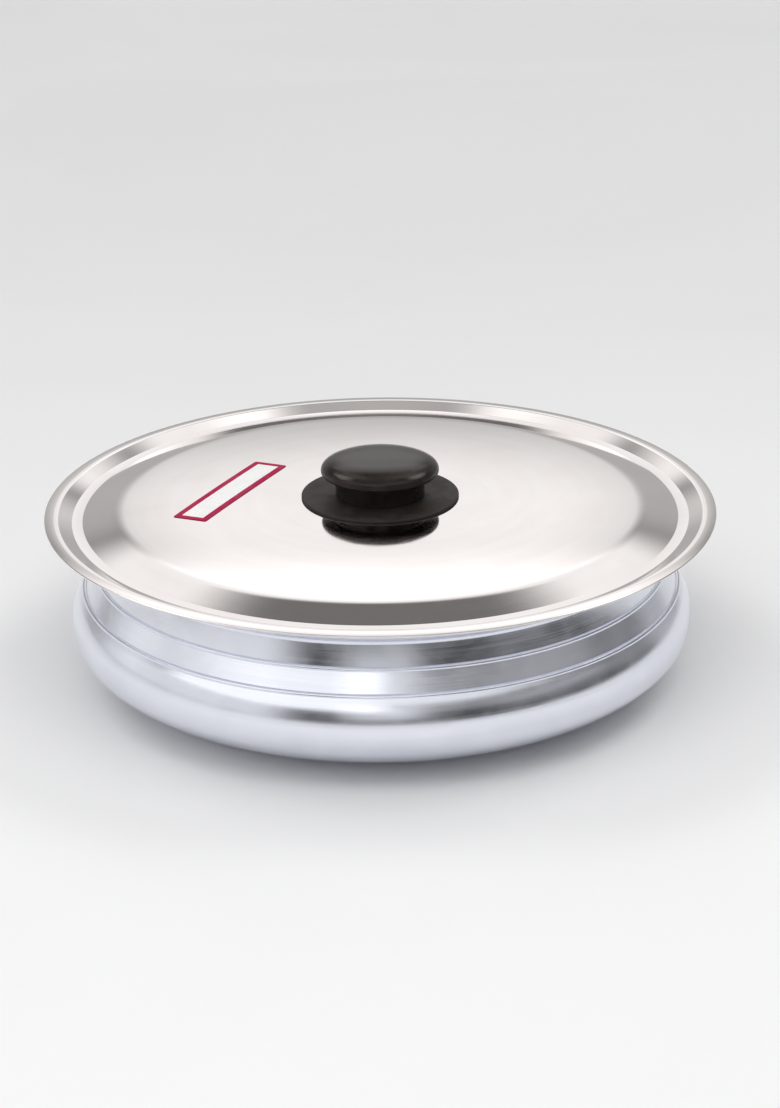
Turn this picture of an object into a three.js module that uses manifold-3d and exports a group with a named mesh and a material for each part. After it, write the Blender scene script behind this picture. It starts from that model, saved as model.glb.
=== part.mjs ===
// Shallow handi pot with a stepped lid and a screwed-on knob.
// Millimetres, +Z up. The origin is the centre of the base, on the surface that the pot stands on.

import * as THREE from 'three';
import { mergeVertices } from 'three/addons/utils/BufferGeometryUtils.js';
import Module from 'manifold-3d';

const { degToRad } = THREE.MathUtils;

// Pot: one spun sheet, from the flat base up to the flared lip
const POT_WALL = 2.2;
const BASE_FLAT_RADIUS = 57;
const BELLY_RADIUS = 121.4;
const BELLY_HEIGHT = 24.6;
const BELLY_POWER = 2.29;
const SHOULDER_ARC_RADIUS = 19.5;
const SHOULDER_LEAN = degToRad(36.5);
const SHOULDER_FLAT = 2.6;
const LOWER_STEP = 0.5;
const BAND_LEAN = degToRad(29.4);
const UPPER_STEP = 0.35;
const NECK_INSET = 12.4;
const NECK_HEIGHT = 9.75;
const NECK_LEAN = degToRad(18);
const FLARE_SLOPE = degToRad(25);
const FLARE_FILLET = 2;
const FLARE_WIDTH = 17.4;

// Lid: one pressed sheet that nests in the flared lip
const LID_SHEET = 0.7;
const LID_SEAT_GAP = 0.3;
const LID_OVERHANG = 3.6;
const EDGE_CURL = 0.2;
const CHANNEL_DEPTH = 2.5;
const LEDGE_WIDTH = 4.3;
const LID_SHOULDER_WIDTH = 13.9;
const LID_SHOULDER_RISE = 3.1;
const LID_SHOULDER_FILLET = 40;
const LID_CORNER_FILLET = 0.9;
const CROWN_RISE = 2.1;
const CROWN_FLAT_MARGIN = 2.4;

// Heat guard disc, clamped between the lid and the knob
const DISC_RADIUS = 30.6;
const DISC_THICKNESS = 1;
const DISC_EDGE_FILLET = 0.4;

// Knob: head and neck in one moulding, cored out from below round a boss
const KNOB_HEAD_RADIUS = 22.9;
const KNOB_NECK_RADIUS = 17.3;
const KNOB_NECK_HEIGHT = 8.5;
const KNOB_RIM_ROUND = 1.1;
const KNOB_TOP_HEIGHT = 5.7;
const KNOB_TOP_POWER = 2.6;
const KNOB_NECK_WALL = 4;
const KNOB_BOSS_WALL = 3.2;
const KNOB_CORE_DEPTH = 9;

// Screw from under the lid, and the threaded insert that it holds in the knob
const SCREW_RADIUS = 2.5;
const SCREW_HOLE_GAP = 0.3;
const SCREW_HEAD_RADIUS = 4.7;
const SCREW_HEAD_HEIGHT = 3.2;
const SCREW_HEAD_ROUND = 1.4;
const SCREW_TIP_CHAMFER = 0.7;
const RECESS_LENGTH = 4.6;
const RECESS_WIDTH = 1.1;
const RECESS_DEPTH = 1.8;
const THREAD_GAP = 0.15;
const THREAD_REACH = 8;
const INSERT_SPARE_THREAD = 2;
const INSERT_WALL = 2;
const INSERT_GROOVE_DEPTH = 0.6;
const INSERT_GROOVE_WIDTH = 2.4;
const INSERT_SETBACK = 0.3;
const INSERT_GAP = 0.3;
const INSERT_END_ROOM = 1.2;

// Washers between the screw head and the lid
const PLAIN_WASHER_RADIUS = 6;
const PLAIN_WASHER_THICKNESS = 1;
const SPRING_WASHER_RADIUS = 4.6;
const SPRING_WASHER_THICKNESS = 1.3;
const SPRING_WASHER_SPLIT = degToRad(14);

// Label on the lid's crown: its size, and its place as distance, bearing and turn about the lid's axis
const LABEL_LENGTH = 66.5;
const LABEL_WIDTH = 14.2;
const LABEL_THICKNESS = 0.15;
const LABEL_FILM_GAP = 0.05;
const LABEL_DISTANCE = 59;
const LABEL_BEARING = degToRad(171.6);
const LABEL_TURN = degToRad(64);

// Facets in a full turn, and steps in each curved stretch
const BIG_ROUND = 56;
const KNOB_ROUND = 40;
const SMALL_ROUND = 24;
const FILLET_STEPS = 2;
const BELLY_STEPS = 8;
const SHOULDER_STEPS = 3;
const NOSE_STEPS = 4;
const CROWN_STEPS = 4;
const KNOB_RIM_STEPS = 2;
const KNOB_TOP_STEPS = 8;
const LABEL_STEPS = 8;

// The most of a side that a fillet may take from each of its ends
const FILLET_SHARE = 0.45;

const wasm = await Module();
wasm.setup();

// Sizes shared by the screw's neighbours
const screwHoleRadius = SCREW_RADIUS + SCREW_HOLE_GAP;
const insertLength = THREAD_REACH + INSERT_SPARE_THREAD;
const insertBore = SCREW_RADIUS + THREAD_GAP;
const insertRadius = insertBore + INSERT_WALL;

// Pot: end of the shoulder's arc, top of the shoulder, foot and top of the neck, and the lip's round nose
const arcEnd = [
  BELLY_RADIUS - SHOULDER_ARC_RADIUS * (1 - Math.cos(SHOULDER_LEAN)),
  BELLY_HEIGHT + SHOULDER_ARC_RADIUS * Math.sin(SHOULDER_LEAN),
];
const shoulderRadius = arcEnd[0] - SHOULDER_FLAT * Math.sin(SHOULDER_LEAN);
const shoulderTop = arcEnd[1] + SHOULDER_FLAT * Math.cos(SHOULDER_LEAN);
const neckRadius = BELLY_RADIUS - NECK_INSET;
const lipRadius = neckRadius + FLARE_WIDTH;
const neckShift = (NECK_HEIGHT / 2) * Math.tan(NECK_LEAN);
const upperStepRadius = neckRadius + neckShift + UPPER_STEP;
const bandRise = (shoulderRadius - LOWER_STEP - upperStepRadius) / Math.tan(BAND_LEAN);
const neckFoot = shoulderTop + bandRise;
const neckTop = neckFoot + NECK_HEIGHT;
const noseRadius = POT_WALL / 2;
const noseMiddle = new THREE.Vector2(lipRadius - noseRadius, 0);
const flareEnd = noseMiddle.x + noseRadius * Math.sin(FLARE_SLOPE);
const flareEndHeight = neckTop + (flareEnd - neckRadius) * Math.tan(FLARE_SLOPE);
noseMiddle.y = flareEndHeight + noseRadius * Math.cos(FLARE_SLOPE);

// Corners of the lid's underside, set off from the lip by the seat gap
const seatOffset = noseRadius + LID_SEAT_GAP;
const rimUnder = noseMiddle.y + seatOffset;
const wallPointRadius = noseMiddle.x - seatOffset * Math.sin(FLARE_SLOPE);
const wallPointHeight = noseMiddle.y + seatOffset * Math.cos(FLARE_SLOPE);
const rimInner = wallPointRadius + (rimUnder - wallPointHeight) / Math.tan(FLARE_SLOPE);
const ledgeOuter = rimInner - CHANNEL_DEPTH / Math.tan(FLARE_SLOPE);
const ledgeUnder = rimUnder - CHANNEL_DEPTH;
const ledgeInner = ledgeOuter - LEDGE_WIDTH;
const crownEdge = ledgeInner - LID_SHOULDER_WIDTH;
const crownEdgeUnder = ledgeUnder + LID_SHOULDER_RISE;
const crownFlat = DISC_RADIUS + CROWN_FLAT_MARGIN;

// Heights of the clamped stack
const crownUnder = crownEdgeUnder + CROWN_RISE;
const discFoot = crownUnder + LID_SHEET;
const knobFoot = discFoot + DISC_THICKNESS;
const insertFoot = knobFoot + INSERT_SETBACK;
const plainWasherFoot = crownUnder - PLAIN_WASHER_THICKNESS;
const springWasherFoot = plainWasherFoot - SPRING_WASHER_THICKNESS;
const screwLength = insertFoot + THREAD_REACH - springWasherFoot;

const aluminium = new THREE.MeshStandardMaterial({ color: 0xc9ccd6, roughness: 0.38, metalness: 1 });
const polishedSteel = new THREE.MeshStandardMaterial({ color: 0xd8d4d0, roughness: 0.1, metalness: 1 });
const phenolic = new THREE.MeshStandardMaterial({ color: 0x1d1b1a, roughness: 0.42, metalness: 0 });
const brass = new THREE.MeshStandardMaterial({ color: 0xb8934a, roughness: 0.35, metalness: 1 });
const platedSteel = new THREE.MeshStandardMaterial({ color: 0xb4b6ba, roughness: 0.3, metalness: 1 });
const labelPaper = new THREE.MeshStandardMaterial({ color: 0xf3f0ec, roughness: 0.6, metalness: 0 });

// Points of an arc about a middle, with its own radius along each axis.
function arc(middle, radiusAcross, radiusUp, from, to, steps) {
  const points = [];
  for (let i = 0; i <= steps; i += 1) {
    const angle = from + ((to - from) * i) / steps;
    points.push([middle[0] + radiusAcross * Math.cos(angle), middle[1] + radiusUp * Math.sin(angle)]);
  }
  return points;
}

// Quarter of a superellipse with half-axes of one, from the end of its width to the top of its height.
function quarter(power, steps) {
  const points = [];
  for (let i = 0; i <= steps; i += 1) {
    const angle = ((Math.PI / 2) * i) / steps;
    points.push([Math.abs(Math.cos(angle)) ** (2 / power), Math.sin(angle) ** (2 / power)]);
  }
  return points;
}

// Line through [radius, height, fillet] corners, rounded at each corner that has a fillet.
function rounded(corners) {
  const at = (i) => new THREE.Vector2(corners[i][0], corners[i][1]);
  return corners.flatMap(([, , fillet = 0], i) => {
    const corner = at(i);
    if (fillet === 0) {
      return [corner];
    }
    const back = at(i - 1).sub(corner);
    const ahead = at(i + 1).sub(corner);
    const room = FILLET_SHARE * Math.min(back.length(), ahead.length());
    const halfAngle = Math.abs(back.angleTo(ahead)) / 2;
    const reach = Math.min(fillet / Math.tan(halfAngle), room);
    const start = back.setLength(reach).add(corner);
    const end = ahead.setLength(reach).add(corner);
    return new THREE.QuadraticBezierCurve(start, corner, end).getPoints(FILLET_STEPS);
  });
}

// Unit vector to the left of the run from one point to the next.
function leftOf(from, to) {
  return new THREE.Vector2(from.y - to.y, to.x - from.x).normalize();
}

// Other face of a sheet: a line moved square to itself, to its left as it runs.
function parallel(line, distance) {
  const last = line.length - 1;
  return line.map((point, i) => {
    const arriving = leftOf(line[Math.max(i - 1, 0)], line[Math.max(i, 1)]);
    const leaving = leftOf(line[Math.min(i, last - 1)], line[Math.min(i + 1, last)]);
    const middle = arriving.clone().add(leaving).normalize();
    return middle.multiplyScalar(distance / middle.dot(arriving)).add(point);
  });
}

// Solid of revolution about Z. The outline runs anticlockwise and starts and ends on the axis.
function turned(outline, facets) {
  return new THREE.LatheGeometry(outline, facets).rotateX(Math.PI / 2);
}

// Ring about Z, from an outline that is closed on itself.
function turnedRing(outline, facets) {
  return turned([...outline, outline[0]], facets);
}

// Flat washer with its foot at height zero.
function washer(innerRadius, outerRadius, thickness, edgeFillet = 0) {
  return rounded([
    [innerRadius, 0],
    [outerRadius, 0],
    [outerRadius, thickness, edgeFillet],
    [innerRadius, thickness],
  ]);
}

// Closed geometry as a solid that can be cut: shared corners merged, and slivers on the axis left out.
function solidOf(geometry) {
  const bare = geometry.clone().deleteAttribute('normal').deleteAttribute('uv');
  const merged = mergeVertices(bare);
  const corners = merged.index.array;
  const triVerts = [];
  for (let i = 0; i < corners.length; i += 3) {
    const [a, b, c] = [corners[i], corners[i + 1], corners[i + 2]];
    if (a !== b && b !== c && c !== a) {
      triVerts.push(a, b, c);
    }
  }
  return new wasm.Manifold(new wasm.Mesh({
    numProp: 3,
    vertProperties: merged.attributes.position.array,
    triVerts: new Uint32Array(triVerts),
  }));
}

// Geometry of a cut solid.
function geometryOf(solid) {
  const mesh = solid.getMesh();
  const geometry = new THREE.BufferGeometry();
  geometry.setAttribute('position', new THREE.BufferAttribute(mesh.vertProperties, 3));
  geometry.setIndex(new THREE.BufferAttribute(mesh.triVerts, 1));
  geometry.computeVertexNormals();
  return geometry;
}

// Outside of the pot, from the middle of the base to the end of the flare.
function potOutside() {
  const bellyWidth = BELLY_RADIUS - BASE_FLAT_RADIUS;
  const bulge = quarter(BELLY_POWER, BELLY_STEPS).reverse();
  const belly = bulge.map(([out, down]) => [BASE_FLAT_RADIUS + bellyWidth * out, BELLY_HEIGHT * (1 - down)]);
  const arcMiddle = [BELLY_RADIUS - SHOULDER_ARC_RADIUS, BELLY_HEIGHT];
  const shoulder = arc(arcMiddle, SHOULDER_ARC_RADIUS, SHOULDER_ARC_RADIUS, 0, SHOULDER_LEAN, SHOULDER_STEPS);
  return rounded([
    [0, 0],
    ...belly,
    ...shoulder.slice(1),
    [shoulderRadius, shoulderTop],
    [shoulderRadius - LOWER_STEP, shoulderTop],
    [upperStepRadius, neckFoot],
    [neckRadius + neckShift, neckFoot],
    [neckRadius - neckShift, neckTop - neckShift * Math.tan(FLARE_SLOPE), FLARE_FILLET],
    [flareEnd, flareEndHeight],
  ]);
}

// Pot: the outside, the round nose of the lip, and the inside one wall away.
function potGeometry() {
  const outside = potOutside();
  const inside = parallel(outside, POT_WALL).reverse();
  const from = FLARE_SLOPE - Math.PI / 2;
  const nose = arc(noseMiddle.toArray(), noseRadius, noseRadius, from, from + Math.PI, NOSE_STEPS);
  const tip = rounded(nose.slice(1, -1));
  return turned([...outside, ...tip, ...inside], BIG_ROUND);
}

// Height of the underside of the crown: flat round the middle, then falling to the crown's edge.
function crownUnderAt(radius) {
  const outward = Math.max(radius - crownFlat, 0) / (crownEdge - crownFlat);
  return crownUnder - CROWN_RISE * outward ** 2;
}

// Lid: its underside from the screw hole to the edge, and its top one sheet above.
function lidGeometry() {
  const crown = [];
  for (let i = 0; i < CROWN_STEPS; i += 1) {
    const radius = crownFlat + ((crownEdge - crownFlat) * i) / CROWN_STEPS;
    crown.push([radius, crownUnderAt(radius)]);
  }
  const underside = rounded([
    [screwHoleRadius, crownUnder],
    ...crown,
    [crownEdge, crownEdgeUnder, LID_SHOULDER_FILLET],
    [ledgeInner, ledgeUnder, LID_CORNER_FILLET],
    [ledgeOuter, ledgeUnder, LID_CORNER_FILLET],
    [rimInner, rimUnder, LID_CORNER_FILLET],
    [lipRadius, rimUnder],
    [lipRadius + LID_OVERHANG, rimUnder - EDGE_CURL],
  ]);
  const top = parallel(underside, LID_SHEET).reverse();
  return turnedRing([...underside, ...top], BIG_ROUND);
}

// Knob on its own foot: insert pocket, boss, cored ring, neck, and the rounded head.
function knobGeometry() {
  const pocketRadius = insertRadius + INSERT_GAP;
  const pocketTop = INSERT_SETBACK + insertLength + INSERT_END_ROOM;
  const bossRadius = pocketRadius + KNOB_BOSS_WALL;
  const coreRadius = KNOB_NECK_RADIUS - KNOB_NECK_WALL;
  const widest = KNOB_NECK_HEIGHT + KNOB_RIM_ROUND;
  const rimMiddle = [KNOB_HEAD_RADIUS - KNOB_RIM_ROUND, widest];
  const rim = arc(rimMiddle, KNOB_RIM_ROUND, KNOB_RIM_ROUND, -Math.PI / 2, 0, KNOB_RIM_STEPS);
  const dome = quarter(KNOB_TOP_POWER, KNOB_TOP_STEPS).slice(1, -1);
  const top = dome.map(([out, up]) => [KNOB_HEAD_RADIUS * out, widest + KNOB_TOP_HEIGHT * up]);
  return turned(rounded([
    [0, pocketTop],
    [pocketRadius, pocketTop],
    [pocketRadius, 0],
    [bossRadius, 0],
    [bossRadius, KNOB_CORE_DEPTH],
    [coreRadius, KNOB_CORE_DEPTH],
    [coreRadius, 0],
    [KNOB_NECK_RADIUS, 0],
    [KNOB_NECK_RADIUS, KNOB_NECK_HEIGHT],
    ...rim,
    ...top,
    [0, widest + KNOB_TOP_HEIGHT],
  ]), KNOB_ROUND);
}

// Threaded insert: a sleeve with a groove round it that keys it into the knob.
function insertGeometry() {
  const grooveFoot = (insertLength - INSERT_GROOVE_WIDTH) / 2;
  const grooveRadius = insertRadius - INSERT_GROOVE_DEPTH;
  return turnedRing(rounded([
    [insertBore, 0],
    [insertRadius, 0],
    [insertRadius, grooveFoot],
    [grooveRadius, grooveFoot],
    [grooveRadius, grooveFoot + INSERT_GROOVE_WIDTH],
    [insertRadius, grooveFoot + INSERT_GROOVE_WIDTH],
    [insertRadius, insertLength],
    [insertBore, insertLength],
  ]), SMALL_ROUND);
}

// Screw, head down, with the head's bearing face at height zero and a cross recess cut in the head.
function screwGeometry() {
  const roundMiddle = [SCREW_HEAD_RADIUS - SCREW_HEAD_ROUND, SCREW_HEAD_ROUND - SCREW_HEAD_HEIGHT];
  const headRound = arc(roundMiddle, SCREW_HEAD_ROUND, SCREW_HEAD_ROUND, -Math.PI / 2, 0, FILLET_STEPS);
  const screw = solidOf(turned(rounded([
    [0, -SCREW_HEAD_HEIGHT],
    ...headRound,
    [SCREW_HEAD_RADIUS, 0],
    [SCREW_RADIUS, 0],
    [SCREW_RADIUS, screwLength - SCREW_TIP_CHAMFER],
    [SCREW_RADIUS - SCREW_TIP_CHAMFER, screwLength],
    [0, screwLength],
  ]), SMALL_ROUND));
  const slot = new THREE.BoxGeometry(RECESS_LENGTH, RECESS_WIDTH, 2 * RECESS_DEPTH);
  slot.translate(0, 0, -SCREW_HEAD_HEIGHT);
  const crossSlot = slot.clone().rotateZ(Math.PI / 2);
  return geometryOf(screw.subtract(solidOf(slot)).subtract(solidOf(crossSlot)));
}

// Spring washer, pressed flat by the screw, with its split.
function springWasherGeometry() {
  const from = SPRING_WASHER_SPLIT / 2;
  const to = 2 * Math.PI - from;
  const section = new THREE.Shape();
  section.absarc(0, 0, SPRING_WASHER_RADIUS, from, to, false);
  section.absarc(0, 0, screwHoleRadius, to, from, true);
  return new THREE.ExtrudeGeometry(section, {
    depth: SPRING_WASHER_THICKNESS,
    bevelEnabled: false,
    curveSegments: SMALL_ROUND,
  });
}

// Label: a thin strip laid over the crown, a film of glue above it.
function labelGeometry() {
  const strip = new THREE.BoxGeometry(LABEL_LENGTH, LABEL_WIDTH, LABEL_THICKNESS, LABEL_STEPS, 2, 1);
  strip.rotateZ(LABEL_TURN);
  const x = LABEL_DISTANCE * Math.cos(LABEL_BEARING);
  const y = LABEL_DISTANCE * Math.sin(LABEL_BEARING);
  strip.translate(x, y, LID_SHEET + LABEL_FILM_GAP + LABEL_THICKNESS / 2);
  const places = strip.attributes.position;
  for (let i = 0; i < places.count; i += 1) {
    const radius = Math.hypot(places.getX(i), places.getY(i));
    places.setZ(i, places.getZ(i) + crownUnderAt(radius));
  }
  strip.computeVertexNormals();
  return strip;
}

// Named mesh, raised to its height.
function piece(name, geometry, material, height = 0) {
  const mesh = new THREE.Mesh(geometry, material);
  mesh.name = name;
  mesh.position.z = height;
  return mesh;
}

const discOutline = washer(screwHoleRadius, DISC_RADIUS, DISC_THICKNESS, DISC_EDGE_FILLET);
const plainWasherOutline = washer(screwHoleRadius, PLAIN_WASHER_RADIUS, PLAIN_WASHER_THICKNESS);

const lid = new THREE.Group();
lid.add(
  piece('lid_pan', lidGeometry(), polishedSteel),
  piece('lid_label', labelGeometry(), labelPaper),
  piece('heat_guard_disc', turnedRing(discOutline, KNOB_ROUND), phenolic, discFoot),
  piece('knob', knobGeometry(), phenolic, knobFoot),
  piece('knob_insert', insertGeometry(), brass, insertFoot),
  piece('plain_washer', turnedRing(plainWasherOutline, SMALL_ROUND), platedSteel, plainWasherFoot),
  piece('spring_washer', springWasherGeometry(), platedSteel, springWasherFoot),
  piece('knob_screw', screwGeometry(), platedSteel, springWasherFoot),
);

const handi = new THREE.Group();
handi.add(piece('pot_body', potGeometry(), aluminium), lid);

export default handi;
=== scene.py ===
"""Shallow handi pot with its lid and knob: fine meshes, finishes, studio and camera.

Metres, +Z up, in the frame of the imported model. The axis is Z, and the camera sees the side that faces -Y.
"""

from __future__ import annotations

import logging
import math
from collections.abc import Callable
from dataclasses import asdict, dataclass, fields
from enum import Enum

import bpy
from mathutils import Matrix, Vector

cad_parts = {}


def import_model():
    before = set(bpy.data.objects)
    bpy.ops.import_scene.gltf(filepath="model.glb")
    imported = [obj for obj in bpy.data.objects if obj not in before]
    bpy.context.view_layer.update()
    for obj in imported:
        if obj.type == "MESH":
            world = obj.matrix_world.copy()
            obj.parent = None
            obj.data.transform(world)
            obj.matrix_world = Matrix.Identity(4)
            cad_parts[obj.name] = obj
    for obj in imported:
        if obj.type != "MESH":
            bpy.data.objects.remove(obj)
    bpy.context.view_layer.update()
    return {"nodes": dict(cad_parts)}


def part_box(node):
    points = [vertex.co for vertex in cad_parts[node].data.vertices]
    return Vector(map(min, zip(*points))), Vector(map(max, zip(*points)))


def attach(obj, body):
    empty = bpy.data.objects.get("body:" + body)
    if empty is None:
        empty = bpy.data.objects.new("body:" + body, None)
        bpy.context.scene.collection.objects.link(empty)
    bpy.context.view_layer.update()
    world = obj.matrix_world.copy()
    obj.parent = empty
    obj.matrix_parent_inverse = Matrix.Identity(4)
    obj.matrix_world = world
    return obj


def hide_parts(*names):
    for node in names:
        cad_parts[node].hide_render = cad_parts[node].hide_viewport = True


MM = 0.001
MICRON = 0.001 * MM

# Facets in a full turn of the large, middling and small turned pieces
LARGE_FACETS = 256
KNOB_FACETS = 160
SMALL_FACETS = 64

# Radius of the hole for the screw in the lid, the disc and the washers
SCREW_HOLE = 2.8 * MM

# The most of a side that a fillet may take from each of its ends
FILLET_SHARE = 0.48

# Edges that turn more than this are shaded as sharp
SHARP_ANGLE = math.radians(35)

logger = logging.getLogger("handi_pot")

# A colour, what may feed an input of a node, and the change of radius at an outline point and a facet
Color = tuple[float, float, float, float]
Feed = bpy.types.NodeSocket | float | tuple[float, ...]
Relief = Callable[[int, int], float]


class Body(Enum):
    """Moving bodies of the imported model."""

    POT = "pot"
    LID = "lid"


class Slot(Enum):
    """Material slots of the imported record."""

    SPUN_ALUMINIUM = "spun_aluminium"
    POLISHED_STEEL = "polished_steel"
    MATT_PHENOLIC = "matt_phenolic"
    SATIN_PHENOLIC = "satin_phenolic"
    INSERT_BRASS = "insert_brass"
    PLATED_STEEL = "plated_steel"
    LABEL_PAPER = "label_paper"


@dataclass(frozen=True)
class Corner:
    """Corner of an outline: radius, height, and the fillet that rounds it."""

    radius: float
    height: float
    fillet: float = 0.0


@dataclass(frozen=True)
class Bend:
    """Corner of a bent sheet's first face, with the fillets of that face and of the other one."""

    radius: float
    height: float
    fillet: float = 0.0
    other_fillet: float = 0.0


def rounded(corners: list[Corner], steps: int = 6) -> list[Vector]:
    """Runs a line through corners and rounds those that have a fillet.

    Args:
        corners: The corners in order. The first and the last one have no fillet.
        steps: Segments in each fillet.

    Returns:
        The line's points, as radius and height.
    """
    places = [Vector((corner.radius, corner.height)) for corner in corners]
    line = []
    for i, corner in enumerate(corners):
        if corner.fillet == 0.0:
            line.append(places[i])
            continue
        back = places[i - 1] - places[i]
        ahead = places[i + 1] - places[i]
        half = back.angle(ahead) / 2
        room = FILLET_SHARE * min(back.length, ahead.length)
        reach = min(corner.fillet / math.tan(half), room)
        inward = (back.normalized() + ahead.normalized()).normalized()
        middle = places[i] + inward * (reach / math.cos(half))
        start = places[i] + back.normalized() * reach - middle
        end = places[i] + ahead.normalized() * reach - middle
        radius = start.length
        line += [middle + start.slerp(end, k / steps).normalized() * radius for k in range(steps + 1)]
    return line


def arc(middle: tuple[float, float], radius: float, start: float, end: float, steps: int) -> list[Corner]:
    """Points of a round arc.

    Args:
        middle: Radius and height of the arc's middle.
        radius: The arc's own radius.
        start: First angle, from the outward direction, anticlockwise.
        end: Last angle.
        steps: Segments of the arc.

    Returns:
        The points in order.
    """
    angles = [start + (end - start) * k / steps for k in range(steps + 1)]
    return [Corner(middle[0] + radius * math.cos(a), middle[1] + radius * math.sin(a)) for a in angles]


def parallel(line: list[Vector], distance: float) -> list[Vector]:
    """Moves a line square to itself.

    Args:
        line: Points of the line.
        distance: How far it moves, to its left as it runs.

    Returns:
        As many points, in the same order.
    """
    runs = [(b - a).normalized() for a, b in zip(line, line[1:])]
    lefts = [Vector((-run.y, run.x)) for run in runs]
    moved = []
    for point, arriving, leaving in zip(line, lefts[:1] + lefts, lefts + lefts[-1:]):
        middle = (arriving + leaving).normalized()
        moved.append(point + middle * (distance / middle.dot(arriving)))
    return moved


def near_face(bends: list[Bend]) -> list[Vector]:
    """First face of a bent sheet, with its corners rounded."""
    return rounded([Corner(bend.radius, bend.height, bend.fillet) for bend in bends])


def far_face(bends: list[Bend], thickness: float) -> list[Vector]:
    """Other face of a bent sheet.

    Args:
        bends: Corners of the first face, in order, with the sheet to the left.
        thickness: Thickness of the sheet.

    Returns:
        The other face's line, run backwards.
    """
    offset = parallel([Vector((bend.radius, bend.height)) for bend in bends], thickness)
    return rounded([Corner(p.x, p.y, bend.other_fillet) for p, bend in zip(offset, bends)])[::-1]


def quarter(power: float, steps: int) -> list[tuple[float, float]]:
    """Quarter of a superellipse with half-axes of one.

    Args:
        power: How square it is. A power of 2 gives a circle.
        steps: Segments of the quarter.

    Returns:
        Width and height of each point, from the end of the width to the top of the height.
    """
    angles = [math.pi / 2 * k / steps for k in range(steps + 1)]
    return [(abs(math.cos(a)) ** (2 / power), math.sin(a) ** (2 / power)) for a in angles]


def smooth_piece(name: str, points: list[Vector], faces: list[tuple[int, ...]]) -> bpy.types.Object:
    """Makes a smoothly shaded mesh object and links it to the scene.

    Args:
        name: Name of the piece.
        points: Places of the vertices.
        faces: Vertex numbers of each face, anticlockwise from outside.

    Returns:
        The new object, at the origin.
    """
    mesh = bpy.data.meshes.new(name)
    mesh.from_pydata(points, [], faces)
    mesh.validate()
    mesh.shade_smooth()
    mesh.set_sharp_from_angle(angle=SHARP_ANGLE)
    piece = bpy.data.objects.new(name, mesh)
    bpy.context.scene.collection.objects.link(piece)
    return piece


def turned(name: str, outline: list[Vector], facets: int, relief: Relief | None = None) -> bpy.types.Object:
    """Turns an outline about the Z axis.

    Args:
        name: Name of the piece.
        outline: Points that run anticlockwise. The outline closes on itself unless it ends on the axis.
        facets: Facets in a full turn.
        relief: Change of radius at an outline point and a facet, both given by number.

    Returns:
        The closed, turned piece.
    """
    points: list[Vector] = []
    rings: list[list[int]] = []
    for i, place in enumerate(outline):
        if place.x < MICRON:
            points.append(Vector((0.0, 0.0, place.y)))
            rings.append([len(points) - 1] * facets)
            continue
        rings.append(list(range(len(points), len(points) + facets)))
        for j in range(facets):
            angle = 2 * math.pi * j / facets
            radius = place.x + (relief(i, j) if relief else 0.0)
            points.append(Vector((radius * math.cos(angle), radius * math.sin(angle), place.y)))
    on_axis = outline[0].x < MICRON
    ends = rings[1:] if on_axis else rings[1:] + rings[:1]
    faces = []
    for low, high in zip(rings, ends):
        for j in range(facets):
            k = (j + 1) % facets
            corners = dict.fromkeys((low[j], low[k], high[k], high[j]))
            faces.append(tuple(corners))
    return smooth_piece(name, points, faces)


def raised(line: list[Vector], height: float) -> list[Vector]:
    """Moves an outline up by a height."""
    return [Vector((point.x, point.y + height)) for point in line]


def cut(piece: bpy.types.Object, cutter: bpy.types.Object) -> None:
    """Cuts one closed mesh out of another, and deletes the cutter.

    Args:
        piece: The mesh that is cut.
        cutter: The mesh that is taken away.
    """
    modifier = piece.modifiers.new("cut", "BOOLEAN")
    modifier.operation = "DIFFERENCE"
    modifier.solver = "EXACT"
    modifier.object = cutter
    graph = bpy.context.evaluated_depsgraph_get()
    mesh = bpy.data.meshes.new_from_object(piece.evaluated_get(graph))
    piece.modifiers.clear()
    piece.data = mesh
    mesh.set_sharp_from_angle(angle=SHARP_ANGLE)
    bpy.data.objects.remove(cutter)


def seat(piece: bpy.types.Object, material: bpy.types.Material, body: Body, node: str) -> None:
    """Dresses a finished piece and lets it stand for its node.

    Args:
        piece: The piece, in place.
        material: Its finish.
        body: The body that it moves with.
        node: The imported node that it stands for.
    """
    piece.data.materials.clear()
    piece.data.materials.append(material)
    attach(piece, body.value)
    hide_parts(node)
    logger.info("%s: %d faces, on body %s", piece.name, len(piece.data.polygons), body.value)


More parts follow.
